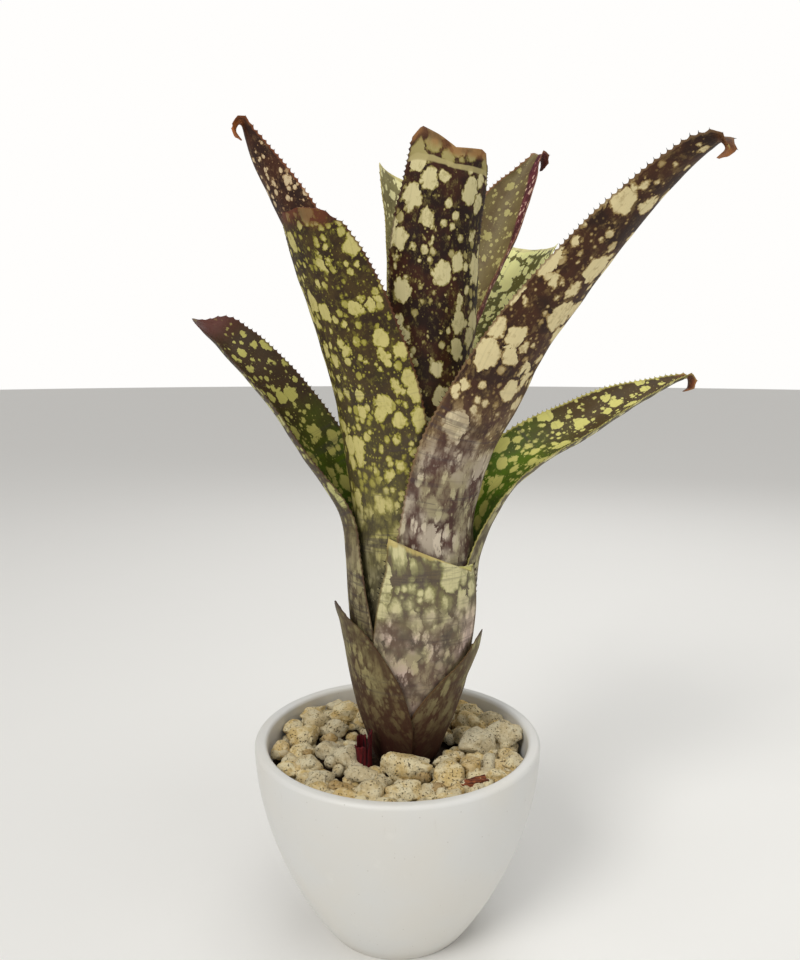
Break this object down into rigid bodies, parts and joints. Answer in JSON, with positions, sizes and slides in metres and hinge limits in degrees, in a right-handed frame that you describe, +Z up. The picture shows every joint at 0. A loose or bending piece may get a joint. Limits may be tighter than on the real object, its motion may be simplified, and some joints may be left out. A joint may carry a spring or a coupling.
{
  "type": "potted bromeliad",
  "caption": "Tall tubular tank bromeliad with spotted, arching, spine-edged leaves, growing from a pumice top dressing in a plain round tapered white pot.",
  "frame": {"origin": "centre of the pot's flat foot, on the surface that the pot stands on", "axes": "+Z up, along the pot's axis; -Y towards the front of the plant; +X to its right"},
  "size_m": [0.2173, 0.1527, 0.3304],
  "materials": {
    "pot": "satin white glaze",
    "medium": "damp bark and peat growing medium",
    "stem": "rough plant stem",
    "leaf": "living leaf, dark maroon to olive with pale spots, satin",
    "pumice": "matte, pitted cream pumice",
    "dried_bract": "dried dark red leaf base",
    "bark": "rough reddish bark"
  },
  "bodies": {
    "root": {"pot": "pot", "growing_medium": "medium", "stem": "stem", "leaf_low_left": "leaf", "leaf_low_right": "leaf", "leaf_cut_front": "leaf", "leaf_left_arch": "leaf", "leaf_right_arch": "leaf", "leaf_right_tall": "leaf", "leaf_left_broad": "leaf", "leaf_back_right": "leaf", "leaf_back_left": "leaf", "leaf_upright_front": "leaf", "leaf_upright_left": "leaf", "leaf_inner_left": "leaf", "leaf_inner_right": "leaf", "stone_01": "pumice", "stone_02": "pumice", "stone_03": "pumice", "stone_04": "pumice", "stone_05": "pumice", "stone_06": "pumice", "stone_07": "pumice", "stone_08": "pumice", "stone_09": "pumice", "stone_10": "pumice", "stone_11": "pumice", "stone_12": "pumice", "stone_13": "pumice", "stone_14": "pumice", "stone_15": "pumice", "stone_16": "pumice", "stone_17": "pumice", "stone_18": "pumice", "stone_19": "pumice", "stone_20": "pumice", "stone_21": "pumice", "stone_22": "pumice", "stone_23": "pumice", "stone_24": "pumice", "stone_25": "pumice", "stone_26": "pumice", "stone_27": "pumice", "stone_28": "pumice", "stone_29": "pumice", "stone_30": "pumice", "stone_31": "pumice", "stone_32": "pumice", "stone_33": "pumice", "stone_34": "pumice", "stone_35": "pumice", "stone_36": "pumice", "stone_37": "pumice", "stone_38": "pumice", "side_shoot_base": "dried_bract", "bark_chip": "bark"}
  },
  "joints": []
}
